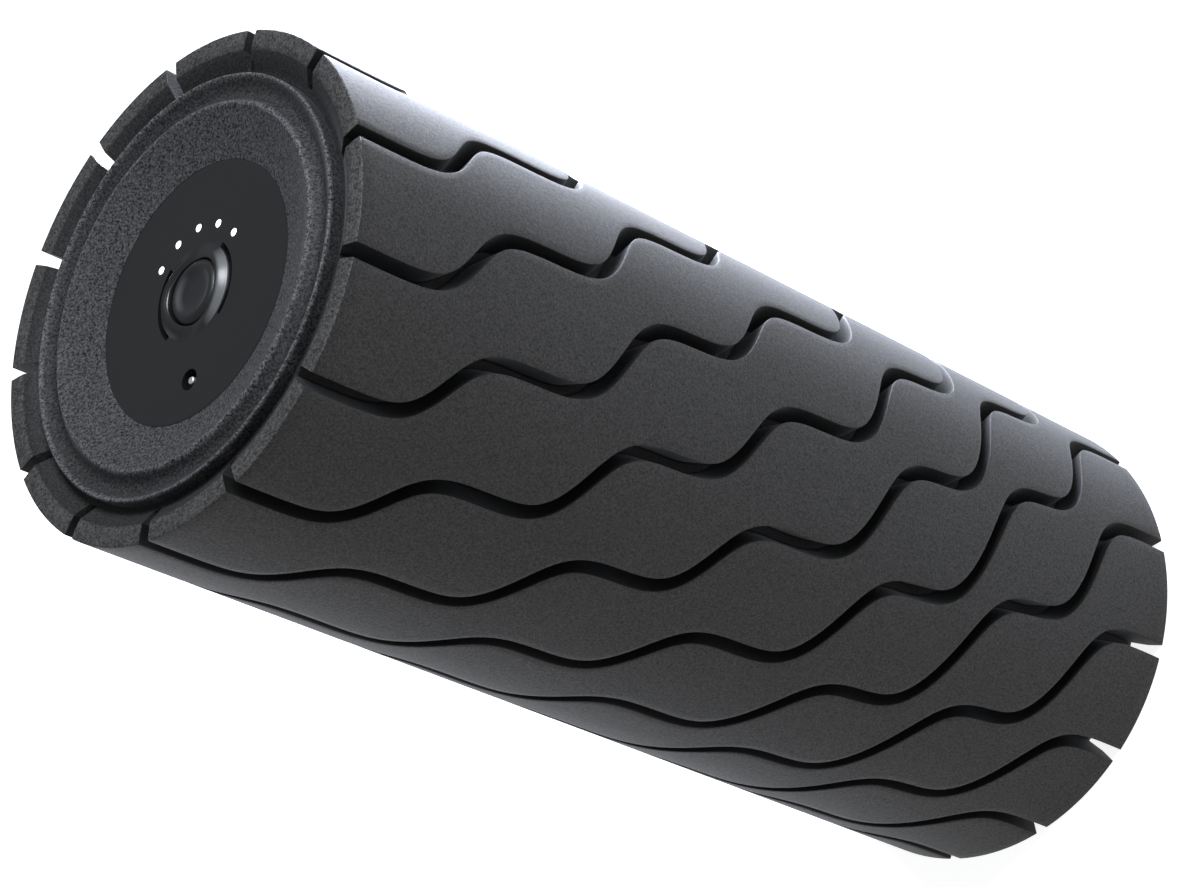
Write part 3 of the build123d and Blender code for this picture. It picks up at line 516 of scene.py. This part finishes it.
def tread_mesh():
    """Return the grooved sleeve's points and faces, in columns that follow the grooves."""
    last = len(GROOVE_SECTION) - 1
    sections = [(-offset, radius) for offset, radius in reversed(GROOVE_SECTION[1:])]
    sections += list(GROOVE_SECTION)
    per_groove = len(sections) + LAND_COLUMNS - 1
    columns = GROOVES * per_groove
    points = []

    def add_row(height_of, radius_of):
        """Add one row of points; both functions take the section's own radius."""
        for number in range(GROOVES):
            for offset, radius in sections:
                height = height_of(radius)
                angle = groove_angle(height, number, offset, radius)
                points.append(polar_point(radius_of(radius), angle, height))
            height = height_of(TREAD_RADIUS)
            start = groove_angle(height, number, GROOVE_SECTION[-1][0], TREAD_RADIUS)
            stop = groove_angle(height, number + 1, -GROOVE_SECTION[-1][0], TREAD_RADIUS)
            for step in range(1, LAND_COLUMNS):
                angle = start + (stop - start) * step / LAND_COLUMNS
                points.append(polar_point(radius_of(TREAD_RADIUS), angle, height))

    def joined(first, second, skip=None):
        """Return the quads between two rows, leaving out columns that skip names."""
        quads = []
        for column in range(columns):
            if skip and skip(column % per_groove):
                continue
            after = (column + 1) % columns
            quads.append((first + column, first + after, second + after, second + column))
        return quads

    def same(radius):
        return radius

    # The outside, from the plain end to the control end.
    middle_rows = int((LENGTH - 2 * SLOPE_DEPTH) / ROW_STEP)
    add_row(lambda radius: LENGTH - end_height(radius), same)
    for row in range(middle_rows + 1):
        span = LENGTH - 2 * SLOPE_DEPTH - 2 * END_GAP
        height = SLOPE_DEPTH + END_GAP + span * row / middle_rows
        add_row(lambda radius, height=height: height, same)
    add_row(end_height, same)
    faces = []
    rows = middle_rows + 3
    for row in range(rows - 1):
        faces += joined(row * columns, (row + 1) * columns)

    # Each end: a patch across every land, then full rings over the slope and down to the bore.
    end_rings = []
    for top in (False, True):
        outline = (rows - 1) * columns if top else 0

        def level(radius, top=top):
            return end_height(radius) if top else LENGTH - end_height(radius)

        floor_row = list(range(outline, outline + columns))
        for number in range(GROOVES):
            first = outline + number * per_groove
            following = outline + ((number + 1) % GROOVES) * per_groove
            previous = [first + 2 * last + step for step in range(LAND_COLUMNS)]
            previous.append(following)
            for depth in range(1, last):
                left = first + 2 * last - depth
                right = following + depth
                offset, radius = GROOVE_SECTION[last - depth]
                height = level(radius)
                start = groove_angle(height, number, offset, radius)
                stop = groove_angle(height, number + 1, -offset, radius)
                current = [left]
                for step in range(1, LAND_COLUMNS):
                    current.append(len(points))
                    angle = start + (stop - start) * step / LAND_COLUMNS
                    points.append(polar_point(radius, angle, height))
                current.append(right)
                for step in range(LAND_COLUMNS):
                    quad = (previous[step], previous[step + 1], current[step + 1], current[step])
                    faces.append(quad if top else quad[::-1])
                previous = current
            for step in range(1, LAND_COLUMNS):
                floor_row[number * per_groove + 2 * last + step] = previous[step]
        # The ring round the groove floors runs over the floor's own columns and each land patch.
        kept = []
        for number in range(GROOVES):
            base = number * per_groove
            kept += [floor_row[base + last + side] for side in (-1, 0, 1)]
            kept += [floor_row[base + 2 * last + step] for step in range(1, LAND_COLUMNS)]
        end_rings.append(kept)

    def ring_down(ring, radius, height, flip):
        """Join a ring to a new one at another radius and height, and return the new ring."""
        new_ring = []
        for index in ring:
            x, y = points[index][:2]
            size = hypot(x, y)
            new_ring.append(len(points))
            points.append((x / size * radius, y / size * radius, height))
        for index in range(len(ring)):
            after = (index + 1) % len(ring)
            quad = (ring[index], ring[after], new_ring[after], new_ring[index])
            faces.append(quad[::-1] if flip else quad)
        return new_ring

    bottom, top = end_rings
    for radius in (56.0, 55.5, COUNTERBORE):
        bottom = ring_down(bottom, radius, LENGTH - end_height(radius), True)
        top = ring_down(top, radius, end_height(radius), False)
    bottom = ring_down(bottom, COUNTERBORE, RING_DEPTH, True)
    top = ring_down(top, COUNTERBORE, LENGTH - RING_DEPTH, False)
    bottom = ring_down(bottom, BORE_RADIUS, RING_DEPTH, True)
    top = ring_down(top, BORE_RADIUS, LENGTH - RING_DEPTH, False)

    # The bore joins the two ends, and turns with the grooves' whole turn.
    whole_turn = radians(groove_turn(0) - groove_turn(LENGTH))
    previous = top
    for row in range(1, BORE_ROWS + 1):
        share = row / BORE_ROWS
        if row == BORE_ROWS:
            current = bottom
        else:
            current = []
            rotation = Matrix.Rotation(whole_turn * share, 3, "Z")
            height = LENGTH - RING_DEPTH - (LENGTH - 2 * RING_DEPTH) * share
            for index in top:
                place = rotation @ Vector(points[index])
                current.append(len(points))
                points.append((place.x, place.y, height))
        for index in range(len(top)):
            after = (index + 1) % len(top)
            faces.append((previous[index], previous[after], current[after], current[index]))
        previous = current
    return points, faces


# The end ring's outline outside its dish, as (radius, depth below the end plane).
RING_CRESTS = (
    (46.1, 0.3), (46.5, 0.1), (46.9, 0.0), (47.3, 0.1), (47.7, 0.4), (48.2, 1.0),
    (48.9, 1.7), (49.7, 2.15), (50.6, 2.25), (51.6, 1.95), (52.5, 1.4), (53.3, 0.8),
    (53.8, 0.3), (54.15, 0.05), (54.4, 0.0), (54.65, 0.12), (54.82, 0.4),
)
HUB_RADIUS = 44.0           # recess in the ring's back for the hub's flange
DISH_EDGE = (45.6, 0.62)    # radius and depth at which the dish meets the inner crest
DISH_STEPS = 10
DISH_SAG = 0.25


def ring_profile():
    """Return a foam end ring's outline at the control end, as (radius, height) points."""
    outer = RING_RADIUS - 0.02
    inner = PANEL_RADIUS + 0.03
    outline = [(inner, PANEL_TOP - 0.3), (inner + 0.05, PANEL_TOP - 0.03)]
    dish_start = inner + 0.3
    dish_rise = LENGTH - DISH_EDGE[1] - PANEL_TOP - 0.05
    for step in range(DISH_STEPS + 1):
        share = step / DISH_STEPS
        radius = dish_start + (DISH_EDGE[0] - dish_start) * share
        height = PANEL_TOP + 0.05 + dish_rise * share
        outline.append((radius, height - DISH_SAG * sin(pi * share)))
    outline += [(radius, LENGTH - depth) for radius, depth in RING_CRESTS]
    outline.append((outer, LENGTH - 1.2))
    outline.append((outer, LENGTH - RING_DEPTH))
    outline.append((HUB_RADIUS, LENGTH - RING_DEPTH))
    outline.append((HUB_RADIUS, SKIRT_FOOT))
    outline.append((inner, SKIRT_FOOT))
    return outline


tread = make_piece("foam_tread", *tread_mesh(), TREAD_FOAM, smooth_angle=50)
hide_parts("tread_sleeve")
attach(tread, "roller")

RING_COLUMNS = 240
control_outline = ring_profile()
plain_outline = [(radius, LENGTH - height) for radius, height in reversed(control_outline)]
for ring_name, ring_outline, ring_node in (
    ("foam_ring_control", control_outline, "end_ring_control"),
    ("foam_ring_plain", plain_outline, "end_ring_plain"),
):
    ring_piece = revolve(ring_name, ring_outline, RING_COLUMNS, RING_FOAM)
    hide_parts(ring_node)
    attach(ring_piece, "roller")


# ---------------------------------------------------------------- control panel
def panel_height(radius, angle):
    """Return the panel's surface height above its flat face, with the island and its two slots."""
    side = abs(cos(angle))
    from_side = min(abs(angle % pi), pi - abs(angle % pi))
    fall = min(max((ISLAND_RADIUS - radius) / (ISLAND_RADIUS - ISLAND_CREST), 0.0), 1.0)
    outward = 0.55 * fall + ISLAND_EASE * smooth_step(fall)
    climb = (radius - BUTTON_HOLE + 0.3) / (ISLAND_CREST - BUTTON_HOLE + 0.3)
    inward = ISLAND_INNER_SHARE + 0.4 * smooth_step(climb)
    island = ISLAND_HEIGHT * side ** 1.4 * min(outward, inward)
    window = smooth_step((radians(SLOT_HALF_ANGLE) - from_side) / radians(SLOT_END) + 0.5)
    inner_wall = smooth_step((radius - SLOT_INNER) / SLOT_WALL)
    slot_wall = inner_wall * smooth_step((SLOT_OUTER - radius) / SLOT_WALL)
    return island - SLOT_DEPTH * window * slot_wall


PANEL_COLUMNS = 480
RADIUS_STEP = 0.13          # spacing of mesh rings over the island and the slots


def panel_mesh():
    """Return the points and faces of the control panel before its holes are cut."""
    columns = PANEL_COLUMNS
    radii = [BUTTON_HOLE, BUTTON_HOLE + 0.12, BUTTON_HOLE + 0.3]
    while radii[-1] < SLOT_OUTER + 0.3:
        radii.append(radii[-1] + RADIUS_STEP)
    radii += [15, 16, 17.6, 19.5, 22, 24.5, 27, 29.5, 32, 33.5]
    points = []
    rows = []

    def add_row(point_of):
        rows.append(len(points))
        for column in range(columns):
            points.append(point_of(2 * pi * column / columns))

    for radius in radii:
        dip = 0.25 if radius == BUTTON_HOLE else 0.06 if radius < BUTTON_HOLE + 0.2 else 0.0
        add_row(lambda angle, radius=radius, dip=dip: polar_point(
            radius, angle, PANEL_TOP + panel_height(radius, angle) - dip))
    for radius, height in (
        (PANEL_RADIUS - 0.12, PANEL_TOP - 0.01),
        (PANEL_RADIUS - 0.03, PANEL_TOP - 0.06),
        (PANEL_RADIUS, PANEL_TOP - 0.2),
        (PANEL_RADIUS, SKIRT_FOOT),
        (PANEL_RADIUS - SKIRT_WALL, SKIRT_FOOT),
        (PANEL_RADIUS - SKIRT_WALL, PANEL_BACK),
        (BUTTON_HOLE + 1.5, PANEL_BACK),
        (BUTTON_HOLE, PANEL_BACK),
    ):
        add_row(lambda angle, radius=radius, height=height: polar_point(radius, angle, height))
    faces = []
    for number, row in enumerate(rows):
        following = rows[(number + 1) % len(rows)]
        for column in range(columns):
            after = (column + 1) % columns
            faces.append((row + column, following + column, following + after, row + after))
    return points, faces


def cut_holes(piece, holes, low, high):
    """Cut round holes, given as (x, y, radius) in millimetres, through a piece."""
    for x, y, radius in holes:
        bpy.ops.mesh.primitive_cylinder_add(
            vertices=48,
            radius=radius * MM,
            depth=(high - low) * MM,
            location=(x * MM, y * MM, (low + high) / 2 * MM),
        )
        cutter = bpy.context.object
        modifier = piece.modifiers.new("hole", "BOOLEAN")
        modifier.operation = "DIFFERENCE"
        modifier.solver = "EXACT"
        modifier.object = cutter
        evaluated = piece.evaluated_get(bpy.context.evaluated_depsgraph_get())
        cut_mesh = bpy.data.meshes.new_from_object(evaluated)
        piece.modifiers.clear()
        piece.data = cut_mesh
        bpy.data.objects.remove(cutter)


panel = make_piece("control_panel_face", *panel_mesh(), PANEL_PLASTIC, smooth_angle=45)
panel_holes = [
    (LIGHT_CIRCLE * cos(radians(angle)), LIGHT_CIRCLE * sin(radians(angle)), LIGHT_HOLE)
    for angle in LIGHT_ANGLES
]
panel_holes.append((0.0, SOCKET_Y, SOCKET_HOLE))
cut_holes(panel, panel_holes, PANEL_BACK - 1.0, PANEL_TOP + 2.0)
panel.data.name = "control_panel_face"
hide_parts("control_panel")
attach(panel, "roller")


def turned(profile, columns, centre=(0.0, 0.0)):
    """Turn an open outline of (radius, height) points about an upright axis and close both ends."""
    points = []
    faces = []
    for radius, height in profile:
        for column in range(columns):
            x, y, z = polar_point(radius, 2 * pi * column / columns, height)
            points.append((x + centre[0], y + centre[1], z))
    for level in range(len(profile) - 1):
        for column in range(columns):
            after = (column + 1) % columns
            first, second = level * columns, (level + 1) * columns
            faces.append((first + column, second + column, second + after, first + after))
    last = (len(profile) - 1) * columns
    faces.append(tuple(range(columns)))
    faces.append(tuple(reversed(range(last, last + columns))))
    return points, faces


BUTTON_BOTTOM = BUTTON_BOX[0][2] / MM
BUTTON_FLANGE = (BUTTON_BOX[1][0] - BUTTON_BOX[0][0]) / 2 / MM
# The dished cap's face, from its middle outwards, as (radius, height above the panel's face).
BUTTON_FACE = (
    (0.6, 0.0), (2.0, 0.01), (3.2, 0.06), (4.2, 0.2), (5.0, 0.45), (5.7, 0.76), (6.2, 0.92),
    (6.6, 0.97), (7.0, 0.92), (7.4, 0.76), (7.8, 0.5), (8.15, 0.2), (8.35, -0.05),
    (BUTTON_RADIUS, -0.5),
)
button_outline = [(radius, PANEL_TOP + height) for radius, height in BUTTON_FACE]
button_outline += [
    (BUTTON_RADIUS, PANEL_BACK - 0.1),
    (BUTTON_FLANGE, PANEL_BACK - 0.1),
    (BUTTON_FLANGE, BUTTON_BOTTOM),
    (0.6, BUTTON_BOTTOM),
]
button = make_piece("button_cap", *turned(button_outline, 96), BUTTON_PLASTIC)
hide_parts("power_button")
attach(button, "button")

GUIDE_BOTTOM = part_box("light_guides")[0][2] / MM
LENS_OUTLINE = ((0.3, 0.16), (0.6, 0.12), (0.85, 0.02), (1.0, -0.12), (1.05, -0.3))
lens_points = []
lens_faces = []
for angle in LIGHT_ANGLES:
    outline = [(radius, PANEL_TOP + height) for radius, height in LENS_OUTLINE]
    outline.append((1.05, GUIDE_BOTTOM))
    centre = (LIGHT_CIRCLE * cos(radians(angle)), LIGHT_CIRCLE * sin(radians(angle)))
    points, faces = turned(outline, 32, centre)
    lens_faces += [tuple(index + len(lens_points) for index in face) for face in faces]
    lens_points += points
lenses = make_piece("light_lenses", lens_points, lens_faces, SLOT_MATERIALS["light_lens"])
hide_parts("light_guides")
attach(lenses, "roller")

# ---------------------------------------------------------------- floor, light and camera
CAMERA_PLACE = Vector((0.6056, -0.4110, 0.7688))
CAMERA_RIGHT = Vector((0.7086, 0.0055, -0.7056))
CAMERA_UP = Vector((0.3059, 0.8987, 0.3142))
CAMERA_FORWARD = Vector((-0.6359, 0.4385, -0.6351))
CAMERA_LENS = 109.39
AIM = Vector((0, 0, LENGTH * MM / 2))
PANEL_AIM = Vector((0, 0, LENGTH * MM))

floor_material, floor_shader = new_material("pale_floor", (0.5, 0.5, 0.5), 0.9, specular=0.0)
floor_shader.inputs["Emission Color"].default_value = (1, 1, 1, 1)
floor_shader.inputs["Emission Strength"].default_value = 0.85
bpy.ops.mesh.primitive_plane_add(size=12, location=(0, 0, 0))
floor = bpy.context.object
floor.name = "floor"
floor.data.materials.append(floor_material)

world = bpy.data.worlds.new("studio")
bpy.context.scene.world = world
world.use_nodes = True
world.node_tree.nodes["Background"].inputs["Color"].default_value = (0.93, 0.96, 1.0, 1)
world.node_tree.nodes["Background"].inputs["Strength"].default_value = 0.3


def area_light(name, azimuth, height, distance, size, power, colour, aim=AIM):
    """Add a soft light at an azimuth round the roller, facing an aim point.

    The azimuth is in degrees from +X towards +Y, and size is (width, height).
    """
    light = bpy.data.lights.new(name, "AREA")
    light.shape = "RECTANGLE"
    light.size, light.size_y = size
    light.energy = power
    light.color = colour
    lamp = bpy.data.objects.new(name, light)
    place = Vector((distance * cos(radians(azimuth)), distance * sin(radians(azimuth)), height))
    turn = (aim - place).to_track_quat("-Z", "Y").to_matrix().to_4x4()
    lamp.matrix_world = Matrix.Translation(place) @ turn
    bpy.context.scene.collection.objects.link(lamp)


area_light("rim_strip", 96, 0.12, 0.75, (0.22, 0.28), 18, (0.82, 0.87, 1.0))
area_light("edge_glow", 124, 0.1, 0.5, (0.3, 0.18), 11, (0.82, 0.87, 1.0))
area_light("under_rim", 205, 0.14, 0.8, (0.2, 0.26), 0.8, (0.95, 0.97, 1.0))
area_light("panel_key", 38, 0.924, 0.62, (0.42, 0.42), 11.0, (0.93, 0.96, 1.0), PANEL_AIM)
area_light("front_fill", -35, 0.6, 1.2, (0.9, 0.9), 2.2, (1.0, 0.98, 0.97))

camera_data = bpy.data.cameras.new("camera")
camera_data.lens = CAMERA_LENS
camera_data.sensor_width = 36.0
camera_data.clip_start = 0.01
camera = bpy.data.objects.new("camera", camera_data)
rotation = Matrix((CAMERA_RIGHT, CAMERA_UP, -CAMERA_FORWARD)).transposed()
camera.matrix_world = Matrix.Translation(CAMERA_PLACE) @ rotation.to_4x4()
bpy.context.scene.collection.objects.link(camera)
bpy.context.scene.camera = camera
bpy.context.scene.view_settings.view_transform = "Standard"
